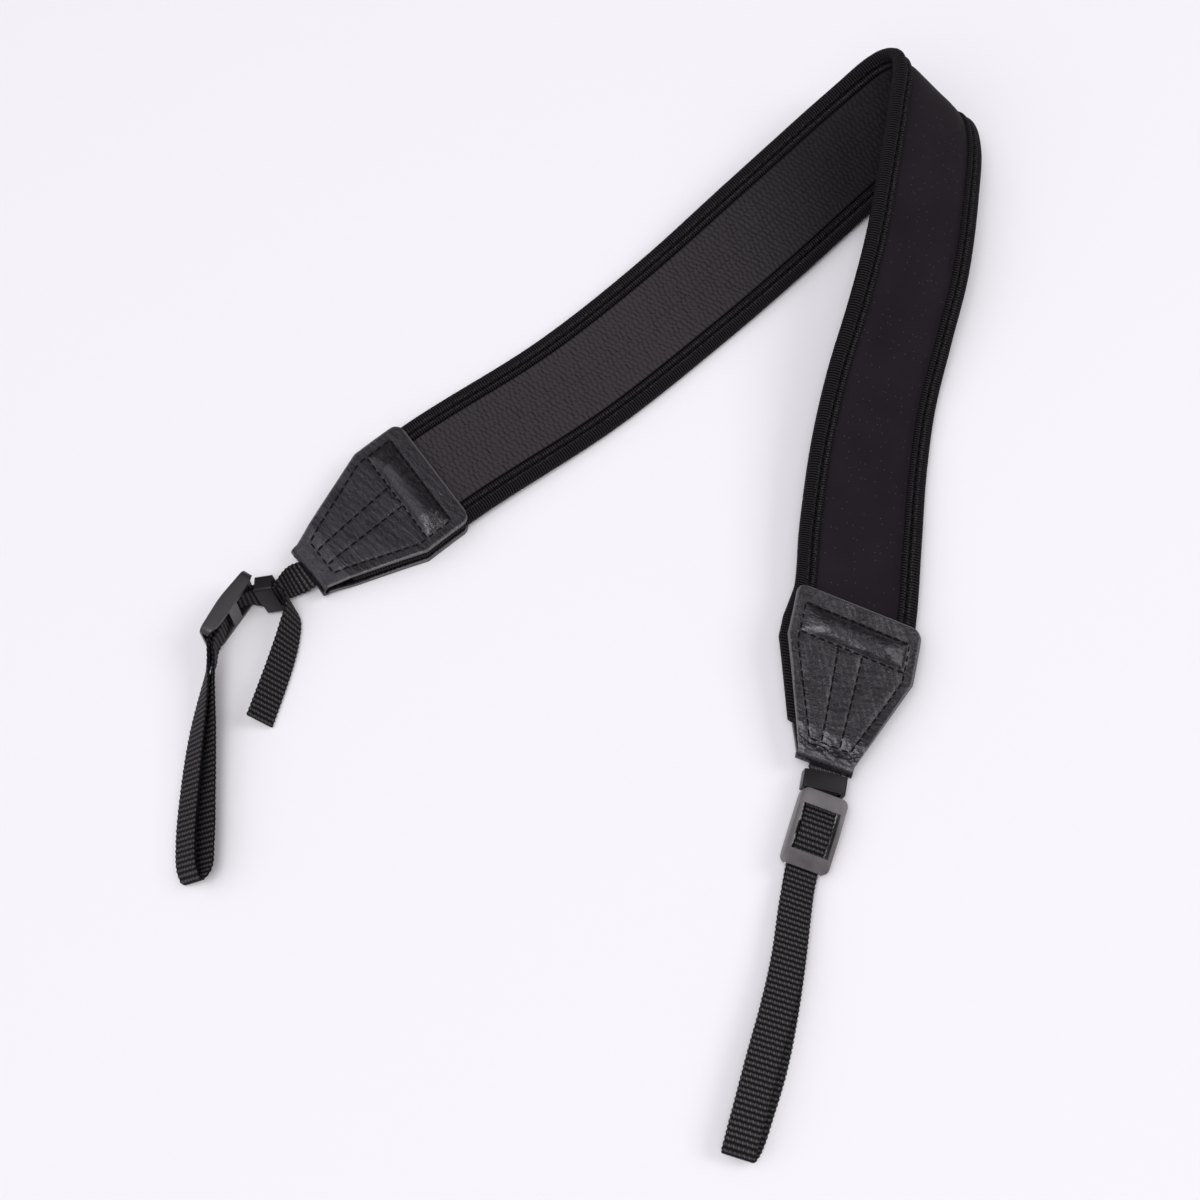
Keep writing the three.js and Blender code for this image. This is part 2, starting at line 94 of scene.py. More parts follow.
def onRoute(route, s):
    knots = route["knots"]
    s = np.clip(s, 0, knots[-1])
    i = np.clip(np.searchsorted(knots, s, side="right") - 1, 0, len(knots) - 2)
    span = (knots[i + 1] - knots[i])[:, None]
    p = (s - knots[i])[:, None] / span
    values = route["values"]
    slopes = route["slopes"]
    leaving = (2 * p**3 - 3 * p**2 + 1) * values[i] + (p**3 - 2 * p**2 + p) * span * slopes[i]
    arriving = (3 * p**2 - 2 * p**3) * values[i + 1] + (p**3 - p**2) * span * slopes[i + 1]
    return leaving + arriving


def framesOn(route, s):
    s = np.atleast_1d(np.asarray(s, float))
    look = 0.4  # how far to either side the direction is taken
    here = onRoute(route, s)
    ahead = onRoute(route, np.minimum(s + look, route["knots"][-1]))
    behind = onRoute(route, np.maximum(s - look, 0))
    along = unit(ahead[:, :3] - behind[:, :3])
    rib = unit(here[:, 3:])
    return here[:, :3], rib, unit(np.cross(along, rib))


def pointsOn(route, s, across, out):  # across and out are one row for each place along the route
    centre, rib, normal = framesOn(route, s)
    return centre[:, None] + across[..., None] * rib[:, None] + out[..., None] * normal[:, None]


# mesh building

def signedVolume(points, faces):
    a = points[faces[:, 0]]
    total = 0.0
    for k in range(1, faces.shape[1] - 1):
        total += np.einsum("ij,ij->i", a, np.cross(points[faces[:, k]], points[faces[:, k + 1]])).sum()
    return total


def addPiece(name, points, quads, lay, materials, extra, slots, sharp):
    # lay is one row of (along, across, height) for each point
    if signedVolume(points, quads) < 0:
        quads = quads[:, ::-1]
        extra = [face[::-1] for face in extra]
    mesh = bpy.data.meshes.new(name)
    faces = quads.tolist() + [list(face) for face in extra]
    mesh.from_pydata(((points + origin) * toMetres).tolist(), [], faces)
    for material in materials:
        mesh.materials.append(material)
    if slots is not None:
        mesh.polygons.foreach_set("material_index", slots)
    layer = mesh.attributes.new("lay", "FLOAT_VECTOR", "POINT")
    layer.data.foreach_set("vector", np.ascontiguousarray(lay, np.float32).ravel())
    mesh.polygons.foreach_set("use_smooth", np.ones(len(faces), bool))
    mesh.set_sharp_from_angle(angle=math.radians(sharp))
    mesh.validate()
    mesh.update()
    made = bpy.data.objects.new(name, mesh)
    scene.collection.objects.link(made)
    print("made", name, "with", sum(len(face) - 2 for face in faces), "triangles")
    return made


def loftQuads(count, around):
    index = np.arange(count * around).reshape(count, around)
    turned = np.roll(index, -1, axis=1)
    quads = np.stack([index[:-1], turned[:-1], turned[1:], index[1:]], axis=-1)
    return quads.reshape(-1, 4), index


def loftPiece(name, rings, lay, materials, sharp):
    count, around = rings.shape[:2]
    quads, index = loftQuads(count, around)
    ends = [index[0][::-1].tolist(), index[-1].tolist()]
    points = rings.reshape(-1, 3)
    return addPiece(name, points, quads, lay.reshape(-1, 3), materials, ends, None, sharp)


stitch = {"points": 5, "sides": 6, "tip": 0.55, "sharp": 60}  # tip: share of the radius at its ends


def stitchPiece(name, paths, normals, radius):  # short closed tubes in one mesh
    count, steps = paths.shape[:2]
    sides = stitch["sides"]
    tangents = unit(np.gradient(paths, axis=1))
    side = unit(np.cross(tangents, normals))
    up = np.cross(side, tangents)
    taper = radius * np.array([stitch["tip"]] + [1.0] * (steps - 2) + [stitch["tip"]])
    angles = np.arange(sides) * 2 * np.pi / sides
    ring = np.cos(angles)[:, None] * side[:, :, None] + np.sin(angles)[:, None] * up[:, :, None]
    points = paths[:, :, None] + taper[None, :, None, None] * ring
    quads, index = loftQuads(steps, sides)
    block = steps * sides
    allQuads = (quads[None] + (np.arange(count) * block)[:, None, None]).reshape(-1, 4)
    ends = []
    for k in range(count):
        ends.append((index[0][::-1] + k * block).tolist())
        ends.append((index[-1] + k * block).tolist())
    along = np.broadcast_to(np.linspace(0, 1, steps)[None, :, None], (count, steps, sides))
    turn = np.broadcast_to(np.linspace(0, 1, sides)[None, None], (count, steps, sides))
    lay = np.stack([along, turn, np.zeros_like(turn)], axis=-1)
    flat = points.reshape(-1, 3)
    return addPiece(name, flat, allQuads, lay.reshape(-1, 3), [threadFinish], ends, None, stitch["sharp"])


# materials

def newMaterial(name, color, roughness, specular):
    made = bpy.data.materials.new(name)
    made.use_nodes = True
    tree = made.node_tree
    shader = tree.nodes["Principled BSDF"]
    shader.inputs["Base Color"].default_value = (*color, 1)
    shader.inputs["Roughness"].default_value = roughness
    shader.inputs["Specular IOR Level"].default_value = specular
    return made, tree, shader


def addNode(tree, kind, links=(), values=(), **settings):
    made = tree.nodes.new("ShaderNode" + kind)
    for key, value in settings.items():
        setattr(made, key, value)
    for socket, value in dict(values).items():
        made.inputs[socket].default_value = value
    for socket, source in dict(links).items():
        tree.links.new(source, made.inputs[socket])
    return made


def mathNode(tree, operation, first, second=0.0):
    made = addNode(tree, "Math", {0: first}, operation=operation)
    if isinstance(second, (int, float)):
        made.inputs[1].default_value = second
    else:
        tree.links.new(second, made.inputs[1])
    return made.outputs[0]


def rangeNode(tree, source, low, high, fromLow=0.0, fromHigh=1.0):
    values = {"From Min": fromLow, "From Max": fromHigh, "To Min": low, "To Max": high}
    return addNode(tree, "MapRange", {"Value": source}, values).outputs["Result"]


def mixNode(tree, share, first, color):  # from the first colour to a plain one
    values = {"B": (*color, 1)}
    return addNode(tree, "Mix", {"Factor": share, "A": first}, values, data_type="RGBA").outputs["Result"]


def rampNode(tree, source, stops):
    made = addNode(tree, "ValToRGB", {"Fac": source})
    elements = made.color_ramp.elements
    for k, (place, color) in enumerate(stops):
        element = elements[k] if k < 2 else elements.new(place)
        element.position = place
        element.color = (*color, 1)
    return made.outputs["Color"]


def twoTone(tree, source, look):
    return rampNode(tree, source, [(look["darkTo"], look["dark"]), (look["lightFrom"], look["light"])])


def layNodes(tree):  # a point's place on its piece, and the relief, wear or painted light and shade stored there as its height
    lay = addNode(tree, "Attribute", attribute_name="lay").outputs["Vector"]
    parts = addNode(tree, "SeparateXYZ", {"Vector": lay}).outputs
    return {"place": lay, "along": parts["X"], "across": parts["Y"], "height": parts["Z"]}


def stretched(tree, vector, scale):
    return addNode(tree, "Mapping", {"Vector": vector}, {"Scale": scale}).outputs["Vector"]


def noiseNode(tree, vector, scale, detail=3.0, distortion=0.0):
    values = {"Scale": scale, "Detail": detail, "Roughness": 0.55, "Distortion": distortion}
    return addNode(tree, "TexNoise", {"Vector": vector}, values).outputs["Fac"]


def bumpNode(tree, shader, height, depth, strength=1.0, under=None):
    links = {"Height": height}
    if under is not None:
        links["Normal"] = under
    made = addNode(tree, "Bump", links, {"Strength": strength, "Distance": depth * toMetres})
    tree.links.new(made.outputs["Normal"], shader.inputs["Normal"])
    return made.outputs["Normal"]


jersey = {
    "dark": (0.0098, 0.0067, 0.0102), "light": (0.0138, 0.0099, 0.0143), "darkTo": 0.3, "lightFrom": 0.75,
    "roughness": 0.8, "specular": 0.11, "sheen": 0.02, "sheenRoughness": 0.5, "cloudScale": 0.06,
    "knit": (2.2, 3.4, 1.0), "knitDepth": 0.05, "knitStrength": 0.6,
    "speck": (0.085, 0.08, 0.08), "speckScale": 0.42, "speckSize": 0.05, "speckless": 0.7,
}


def jerseyMaterial():
    made, tree, shader = newMaterial("jersey", jersey["dark"], jersey["roughness"], jersey["specular"])
    place = layNodes(tree)["place"]
    tone = twoTone(tree, noiseNode(tree, place, jersey["cloudScale"], 4.0), jersey)
    scale = {"Scale": jersey["speckScale"]}
    cells = addNode(tree, "TexVoronoi", {"Vector": place}, scale, voronoi_dimensions="2D").outputs
    spot = mathNode(tree, "LESS_THAN", cells["Distance"], jersey["speckSize"])
    chance = addNode(tree, "SeparateColor", {"Color": cells["Color"]}).outputs["Red"]
    speck = mathNode(tree, "MULTIPLY", spot, mathNode(tree, "GREATER_THAN", chance, jersey["speckless"]))
    tree.links.new(mixNode(tree, speck, tone, jersey["speck"]), shader.inputs["Base Color"])
    shader.inputs["Sheen Weight"].default_value = jersey["sheen"]
    shader.inputs["Sheen Roughness"].default_value = jersey["sheenRoughness"]
    knit = noiseNode(tree, stretched(tree, place, jersey["knit"]), 1.0, 2.0)
    bumpNode(tree, shader, knit, jersey["knitDepth"], jersey["knitStrength"])
    return made


grip = {
    "gap": (0.0055, 0.0045, 0.0055), "top": (0.031, 0.0262, 0.0305), "wearAndPaintedLight": (0.041, 0.035, 0.0402),
    "gapTo": 0.12, "topAt": 0.62, "wornFrom": 1.0, "roughLow": 0.6, "roughHigh": 0.8, "specular": 0.12,
    "patchScale": 0.08, "grainScale": 1.7, "grainDepth": 0.1, "grainStrength": 0.6,
    "mottle": 0.5, "mottleBase": 0.62,
    "foldShadeStart": 140, "foldShadeFull": 225, "foldShadeTone": 0.36,  # along the band: painted shade, full tone at the first place, darkening to the set tone by the second, towards the fold
}


def gripMaterial():
    made, tree, shader = newMaterial("gripRubber", grip["top"], grip["roughHigh"], grip["specular"])
    lay = layNodes(tree)
    grain = noiseNode(tree, lay["place"], grip["grainScale"])
    # painted shade: the lining darkens along the band towards the fold, where the folded-over leg shades
    # it
    paintedShadeTone = rangeNode(tree, lay["along"], 1.0, grip["foldShadeTone"], grip["foldShadeStart"], grip["foldShadeFull"])
    mottled = mathNode(tree, "ADD", mathNode(tree, "MULTIPLY", grain, grip["mottle"]), grip["mottleBase"])
    raised = mathNode(tree, "MULTIPLY", lay["height"], mathNode(tree, "MULTIPLY", mottled, paintedShadeTone))
    stops = [(grip["gapTo"], grip["gap"]), (grip["topAt"], grip["top"]), (grip["wornFrom"], grip["wearAndPaintedLight"])]
    tree.links.new(rampNode(tree, raised, stops), shader.inputs["Base Color"])
    patches = noiseNode(tree, lay["place"], grip["patchScale"])
    gloss = rangeNode(tree, patches, grip["roughLow"], grip["roughHigh"])
    tree.links.new(gloss, shader.inputs["Roughness"])
    bumpNode(tree, shader, grain, grip["grainDepth"], grip["grainStrength"])
    return made


tape = {
    "dark": (0.0009, 0.0007, 0.001), "light": (0.024, 0.0195, 0.0245), "darkTo": 0.3, "lightFrom": 0.9,
    "wearAndPaintedLight": (0.1, 0.092, 0.098), "lipStreakFrom": 0.5, "lipStreakTo": 0.75, "grooveBottom": -0.7,
    "roughness": 0.65, "specular": 0.06, "threads": (1.2, 7.0, 1.0),
    "ribPitch": 0.85, "ribShare": 0.5, "ribDepth": 0.2,
}


def tapeMaterial():
    made, tree, shader = newMaterial("ribbedTape", tape["dark"], tape["roughness"], tape["specular"])
    lay = layNodes(tree)
    # the rib wave shapes the bump and the tone: lighter crests and darker valleys are painted highlight
    # and shade on the ribs
    turns = mathNode(tree, "MULTIPLY", lay["along"], 2 * math.pi / tape["ribPitch"])
    wave = mathNode(tree, "SINE", turns)
    threads = noiseNode(tree, stretched(tree, lay["place"], tape["threads"]), 1.0, 2.0)
    ribs = mathNode(tree, "ADD", mathNode(tree, "MULTIPLY", wave, tape["ribShare"]), threads)
    # painted highlight: both lips of the groove are lightened, broken into streaks along the threads
    speckle = rangeNode(tree, threads, 0.0, 1.0, tape["lipStreakFrom"], tape["lipStreakTo"])
    lips = mathNode(tree, "MULTIPLY", mathNode(tree, "MAXIMUM", lay["height"], 0.0), speckle)
    wearAndPaintedLight = mixNode(tree, lips, twoTone(tree, ribs, tape), tape["wearAndPaintedLight"])
    # painted shade: the groove between the lips, stored as a negative height, is darkened towards black
    groove = rangeNode(tree, lay["height"], 0.0, 1.0, 0.0, tape["grooveBottom"])
    tree.links.new(mixNode(tree, groove, wearAndPaintedLight, tape["dark"]), shader.inputs["Base Color"])
    bumpNode(tree, shader, ribs, tape["ribDepth"])
    return made


leather = {
    "dark": (0.0055, 0.0044, 0.0059), "light": (0.0175, 0.0144, 0.0183),
    "darkTo": 0.53, "lightFrom": 0.76, "seam": (0.0012, 0.001, 0.0012), "edge": (0.15, 0.139, 0.148),
    "specular": 0.5, "gloss": (1.0, 0.95, 1.03), "roughLow": 0.2, "roughHigh": 0.26, "wearScale": 0.12,
    "folds": (1.35, 0.5, 0.0), "foldBend": 0.4, "foldDepth": 0.16, "pores": (3.4, 2.2, 0.0),
    "poreShare": 0.25, "swell": (0.1, 0.1, 0.0), "swellDepth": 0.6,
}


def leatherMaterial():
    rough = leather["roughHigh"]
    made, tree, shader = newMaterial("grainLeather", leather["dark"], rough, leather["specular"])
    lay = layNodes(tree)
    run = stretched(tree, lay["place"], leather["folds"])
    folds = noiseNode(tree, run, 1.0, 3.0, leather["foldBend"])
    pores = noiseNode(tree, stretched(tree, lay["place"], leather["pores"]), 1.0, 2.0)
    # lighter on the fold crests: the leather's own tone variation, with painted highlight on the wrinkles
    grain = mathNode(tree, "ADD", folds, mathNode(tree, "MULTIPLY", pores, leather["poreShare"]))
    # darker along the seams: dirt and painted shade in the seam grooves
    seamed = mixNode(tree, lay["height"], twoTone(tree, grain, leather), leather["seam"])
    # lighter along the rim, where the height is negative
    paintedShadeTone = mixNode(tree, mathNode(tree, "MULTIPLY", lay["height"], -1.0), seamed, leather["edge"])
    tree.links.new(paintedShadeTone, shader.inputs["Base Color"])
    shader.inputs["Specular Tint"].default_value = (*leather["gloss"], 1)
    wearAndRimBand = noiseNode(tree, lay["place"], leather["wearScale"])
    tree.links.new(rangeNode(tree, wearAndRimBand, leather["roughLow"], rough), shader.inputs["Roughness"])
    swell = noiseNode(tree, stretched(tree, lay["place"], leather["swell"]), 1.0, 1.0)
    broad = bumpNode(tree, shader, swell, leather["swellDepth"])
    bumpNode(tree, shader, grain, leather["foldDepth"], 1.0, broad)
    return made


cutEdge = {
    "dark": (0.02, 0.019, 0.02), "light": (0.085, 0.082, 0.085), "darkTo": 0.3, "lightFrom": 0.7,
    "roughness": 0.7, "specular": 0.25, "fuzzScale": 2.5, "fuzzDepth": 0.1, "fuzzStrength": 0.7,
}


def cutEdgeMaterial():
    rough = cutEdge["roughness"]
    made, tree, shader = newMaterial("leatherCutEdge", cutEdge["dark"], rough, cutEdge["specular"])
    speckle = noiseNode(tree, layNodes(tree)["place"], cutEdge["fuzzScale"])
    tree.links.new(twoTone(tree, speckle, cutEdge), shader.inputs["Base Color"])
    bumpNode(tree, shader, speckle, cutEdge["fuzzDepth"], cutEdge["fuzzStrength"])
    return made


yarn = {
    "dark": (0.0008, 0.0006, 0.0008), "light": (0.092, 0.0826, 0.09), "darkTo": 0.2, "lightFrom": 0.92,
    "specular": 0.16, "roughGap": 0.75, "roughFloat": 0.42,
    "fibres": (1.0, 9.0, 1.0), "fibreDepth": 0.05, "fibreStrength": 0.7,
}


def webbingMaterial():
    made, tree, shader = newMaterial("webbingYarn", yarn["light"], yarn["roughFloat"], yarn["specular"])
    lay = layNodes(tree)
    # lighter on the raised floats, near black between them: painted highlight on the float tops and
    # painted shade in the gaps
    tree.links.new(twoTone(tree, lay["height"], yarn), shader.inputs["Base Color"])
    gloss = rangeNode(tree, lay["height"], yarn["roughGap"], yarn["roughFloat"])
    tree.links.new(gloss, shader.inputs["Roughness"])
    fibres = noiseNode(tree, stretched(tree, lay["place"], yarn["fibres"]), 1.0, 2.0)
    bumpNode(tree, shader, fibres, yarn["fibreDepth"], yarn["fibreStrength"])
    return made


plastic = {
    "darkTo": 0.3, "lightFrom": 0.7, "cloudScale": 160.0, "roughLow": 0.28, "roughHigh": 0.4,
    "grainScale": 4200.0, "grainDepth": 0.02, "grainStrength": 0.35,
}
# the two buckles are one plastic: the right copy is lighter as a painted reflection of the light on its
# upward face, the left copy darker
glidePlastic = {
    "left": {"dark": (0.0185, 0.0155, 0.019), "light": (0.0245, 0.0208, 0.025), "specular": 0.5},
    "right": {"dark": (0.052, 0.0447, 0.0497), "light": (0.1, 0.0877, 0.0942), "specular": 0.6},
}
keeperPlastic = {"dark": (0.0095, 0.0082, 0.0098), "light": (0.013, 0.0113, 0.0133), "specular": 0.2}


def plasticMaterial(name, colors):
    look = {**plastic, **colors}
    made, tree, shader = newMaterial(name, look["dark"], look["roughHigh"], look["specular"])
    place = addNode(tree, "TexCoord").outputs["Object"]
    cloud = noiseNode(tree, place, look["cloudScale"])
    tree.links.new(twoTone(tree, cloud, look), shader.inputs["Base Color"])
    gloss = rangeNode(tree, cloud, look["roughLow"], look["roughHigh"])
    tree.links.new(gloss, shader.inputs["Roughness"])
    grain = noiseNode(tree, place, look["grainScale"], 2.0)
    bumpNode(tree, shader, grain, look["grainDepth"], look["grainStrength"])
    return made


sewing = {
    "dark": (0.0015, 0.0014, 0.0015), "light": (0.006, 0.0056, 0.006), "darkTo": 0.0, "lightFrom": 1.0,
    "roughness": 0.6, "specular": 0.12, "turns": 24.0, "lean": 6.28,
    "twistDepth": 0.06, "twistStrength": 0.6,
}


def threadMaterial():
    rough = sewing["roughness"]
    made, tree, shader = newMaterial("blackThread", sewing["dark"], rough, sewing["specular"])
    lay = layNodes(tree)
    lean = mathNode(tree, "MULTIPLY", lay["across"], sewing["lean"])
    turns = mathNode(tree, "ADD", mathNode(tree, "MULTIPLY", lay["along"], sewing["turns"]), lean)
    twist = mathNode(tree, "SINE", turns)
    tree.links.new(twoTone(tree, twist, sewing), shader.inputs["Base Color"])
    bumpNode(tree, shader, twist, sewing["twistDepth"], sewing["twistStrength"])
    return made


jerseyFinish = jerseyMaterial()
gripFinish = gripMaterial()
tapeFinish = tapeMaterial()
leatherFinish = leatherMaterial()
cutEdgeFinish = cutEdgeMaterial()
webbingFinish = webbingMaterial()
glideFinish = {
    "left": plasticMaterial("glidePlasticLeft", glidePlastic["left"]),
    "right": plasticMaterial("glidePlasticRight", glidePlastic["right"]),
}
keeperFinish = plasticMaterial("keeperPlastic", keeperPlastic)
threadFinish = threadMaterial()
print("materials made")

# the band, from the left tip to the right tip: x, y, z, swing, rise
bandRows = [
    (-93.2, 5.4, 4.3, 127, 0),
    (-52.4, 40.9, 4.5, 126, 1),
    (-6.6, 75.0, 3.0, 130, 1),
    (27.6, 105.1, 3.9, 132.5, 4),
    (56.6, 132.1, 7.5, 134.5, 14.5),
    (80.9, 156.1, 9.2, 135.5, 20),
    (93.3, 167.3, 11.6, 136.5, 27.5),
    (101.5, 174.3, 14.8, 141.5, 38),
    (105.4, 176.6, 16.9, 148, 45.5),
    (108.9, 176.5, 19.7, 160.5, 49),
    (111.0, 172.3, 22.3, 169, 44.5),
    (111.0, 161.4, 23.9, 172.5, 36.5),
    (107.8, 138.9, 23.5, 172.5, 31.5),
    (102.5, 110.9, 21.0, 171.5, 29),
    (96.5, 89.4, 16.2, 171.5, 29),
    (90.2, 68.2, 11.1, 171, 25.5),
    (85.4, 45.9, 9.1, 171.5, 19.5),
    (81.3, 17.7, 8.4, 170, 13),
    (78.4, -6.3, 7.8, 160.5, 10),
    (65.6, -58.5, 6.0, 159.5, 4),
]
band = makeRoute(layRows(bandRows))
leftEdge = band["knots"][1]
rightEdge = band["knots"][-2]

# half width of a cap flap at each reach from its wide edge, and how far it stands off the band
capShape = {
    "reach": [0, 17.5, 26.0, 36.0, 42.0, 46.0, 49.0],
    "half": [20.6, 20.6, 17.4, 13.7, 11.5, 10.0, 8.9],
    "lift": [3.5, 3.5, 3.5, 3.5, 3.4, 2.5, 2.1],
    "corner": 3.4, "thick": 1.1, "waist": 49.0,
    "across": {"left": 0.0, "right": -0.8}, "up": {"left": 1, "right": -1},
    "slitHalf": 7.2, "slitTurn": 27.0,
}
bandEnd = {"reach": 41.0, "inset": 0.5, "straight": 5.5, "flare": 1.8, "flareLength": 11.0}


def capHalf(reach):
    half = np.interp(reach, capShape["reach"], capShape["half"])
    corner = capShape["corner"]
    inward = np.clip(corner - reach, 0, corner)
    return half - (corner - np.sqrt(corner**2 - inward**2))


def placeInCap(end, reach):
    return leftEdge - reach if end == "left" else rightEdge + reach


def halfAt(s, side):  # half width of the band on one side, narrowing inside the caps
    reach = np.maximum(leftEdge - s, s - rightEdge)
    narrowed = np.where(reach > bandEnd["straight"], capHalf(reach) - bandEnd["inset"], pad["half"])
    flare = bandEnd["flare"] * np.clip((s - rightEdge) / bandEnd["flareLength"], 0, 1)
    return np.minimum(pad["half"], narrowed) + (flare if side > 0 else 0)


def bandStations(reach, step):
    start = placeInCap("left", reach)
    end = placeInCap("right", reach)
    return np.linspace(start, end, int((end - start) / step) + 1)


# padded band
pad = {
    "half": 20.0, "face": 1.2, "crown": 1.05, "gripFace": 0.9, "round": 0.8, "step": 1.5, "columns": 33,
    "fill": 0.75, "crownPower": 5, "tapeReach": 6.4, "tapeWall": 1.0, "sharp": 50,
    "ripple": 0.07, "waves": [(0.21, 0.13, 0.0), (0.083, -0.09, 1.3)],  # along, across, start
    "dent": (334.0, -12.5, 0.5, 2.6, 5.0),  # along, across, depth, length, width
}


def padCrown(s, across, share):
    dome = pad["crown"] * (1 - np.abs(share) ** pad["crownPower"])
    first, second = [np.sin(s * a + across * b + start) for a, b, start in pad["waves"]]
    along, place, depth, length, width = pad["dent"]
    dent = depth * np.exp(-((s - along) / length) ** 2 - ((across - place) / width) ** 2)
    return dome + pad["ripple"] * (first * second) * (1 - share**2) - dent


def makePad():
    s = bandStations(bandEnd["reach"], pad["step"])
    high = halfAt(s, 1)
    low = halfAt(s, -1)
    bareHigh = high - pad["tapeReach"] - seat
    bareLow = low - pad["tapeReach"] - seat
    share = np.linspace(1, -1, pad["columns"])
    faceAcross = np.where(share > 0, share * bareHigh[:, None], share * bareLow[:, None])
    faceOut = -pad["face"] - padCrown(s[:, None], faceAcross, share)
    flat = pad["face"]
    wall = pad["tapeWall"] + seat

    def edge(half, bare, side):
        outer = half - wall
        rows = [
            (outer - pad["round"], -flat), (outer, pad["round"] - flat), (outer, flat - pad["round"]),
            (outer - pad["round"], flat), (bare + seat, flat), (bare, pad["gripFace"]),
        ]
        across = np.stack([side * row[0] for row in rows], axis=1)
        out = np.stack([np.full(len(s), row[1]) for row in rows], axis=1)
        return across, out

    lowAcross, lowOut = edge(low, bareLow, -1)
    highAcross, highOut = edge(high, bareHigh, 1)
    across = np.hstack([faceAcross, lowAcross, highAcross[:, ::-1]])
    out = np.hstack([faceOut, lowOut, highOut[:, ::-1]])
    rings = pointsOn(band, s, across, out)
    lay = np.stack([np.broadcast_to(s[:, None], across.shape), across, np.zeros_like(across)], axis=-1)
    made = loftPiece("neoprenePad", rings, lay, [jerseyFinish], pad["sharp"])
    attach(made, "root")
    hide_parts("neoprene_pad")


makePad()

# grip lining: flat ribs across the band, parted by short staggered grooves
lining = {
    "reach": 36.0, "base": 1.2, "top": 1.93, "ribHeight": 0.26, "alongPitch": 1.7, "acrossPitch": 2.6,
    "grooveShare": 0.3, "rowDip": 0.3, "dipPower": 6, "alongSteps": 4, "columns": 60, "sharp": 80,
    "wander": [(0.3, 0.8, 0.23), (0.12, 2.3, -0.61)],  # size, across, along
    "uneven": 0.28, "chance": [(2.4, 1.9), (0.7, -3.1)],  # depth of each groove, by its number and row
}


def ribHeight(s, across):
    row = np.floor(across / lining["acrossPitch"])
    wavy = s
    for size, a, b in lining["wander"]:
        wavy = wavy + size * np.sin(across * a + s * b)
    turn = wavy / lining["alongPitch"] + 0.5 * np.mod(row, 2)
    edge = lining["grooveShare"]
    groove = np.clip((-np.cos(2 * math.pi * turn) - edge) / (1 - edge), 0, 1)
    first, second = [np.sin(np.round(turn) * a + row * b) for a, b in lining["chance"]]
    depth = 1 - lining["uneven"] + lining["uneven"] * first * second
    fromRow = np.abs(across / lining["acrossPitch"] - row - 0.5) * 2
    return (1 - depth * groove) * (1 - lining["rowDip"] * fromRow ** lining["dipPower"])


def makeLining():
    s = bandStations(lining["reach"], lining["alongPitch"] / lining["alongSteps"])
    low = -(halfAt(s, -1) - pad["tapeReach"] - seat)
    high = halfAt(s, 1) - pad["tapeReach"] - seat
    share = np.linspace(0, 1, lining["columns"] + 1)
    topAcross = low[:, None] + (high - low)[:, None] * share
    height = ribHeight(s[:, None], topAcross)
    height[:, [0, -1]] = 0
    topOut = lining["top"] + lining["ribHeight"] * height
    baseAcross = np.stack([high, low], axis=1)
    across = np.hstack([topAcross, baseAcross])
    out = np.hstack([topOut, np.full(baseAcross.shape, lining["base"])])
    rings = pointsOn(band, s, across, out)
    tone = np.hstack([height, np.zeros_like(baseAcross)])
    lay = np.stack([np.broadcast_to(s[:, None], across.shape), across, tone], axis=-1)
    made = loftPiece("gripLining", rings, lay, [gripFinish], lining["sharp"])
    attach(made, "root")
    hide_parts("grip_lining")


makeLining()

# binding tape: distance in from the edge and height off the band's middle, over one face
binding = {
    "step": 1.1,
    "face": [
        (0.0, 0.0), (0.04, 0.55), (0.2, 1.15), (0.55, 1.75), (1.1, 2.2), (1.8, 2.47),
        (2.6, 2.5), (3.3, 2.3), (3.8, 1.95), (4.05, 1.72), (4.3, 1.72), (4.6, 2.0),
        (5.1, 2.3), (5.7, 2.38), (6.15, 2.2), (6.38, 1.85), (6.4, 1.5),
    ],
    "inside": [(1.9, 1.5), (1.25, 1.2), (1.0, 0.6)],
    "lips": [3.4, 5.0], "lipWidth": 0.4, "grooveAt": 4.18, "grooveOut": 1.78,
    "stitchPitch": 3.0, "stitchLength": 2.3, "thread": 0.2, "stitchDive": 2.2, "fromCap": 1.0,
    "sharp": 70,
}


def makeBinding(name, node, side):
    s = bandStations(bandEnd["reach"], binding["step"])
    half = halfAt(s, side)
    outside = binding["face"] + binding["inside"]
    loop = np.array(outside + [(d, -out) for d, out in outside[:0:-1]])
    inward = loop[:, 0]
    out = np.broadcast_to(loop[:, 1], (len(s), len(loop)))
    across = side * (half[:, None] - inward)
    rings = pointsOn(band, s, across, out)
    # painted highlight along both lips of the groove, and painted shade in the groove itself as a
    # negative height
    wearAndPaintedLight = sum(np.exp(-(((inward - lip) / binding["lipWidth"]) ** 2)) for lip in binding["lips"])
    wearAndPaintedLight = wearAndPaintedLight - np.exp(-(((inward - binding["grooveAt"]) / binding["lipWidth"]) ** 2))
    wearAndPaintedLight = np.broadcast_to(wearAndPaintedLight, across.shape)
    lay = np.stack([np.broadcast_to(s[:, None], across.shape), across, wearAndPaintedLight], axis=-1)
    made = loftPiece(name, rings, lay, [tapeFinish], binding["sharp"])
    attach(made, "root")
    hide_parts(node)
    makeBindingStitches(name + "Stitches", side)


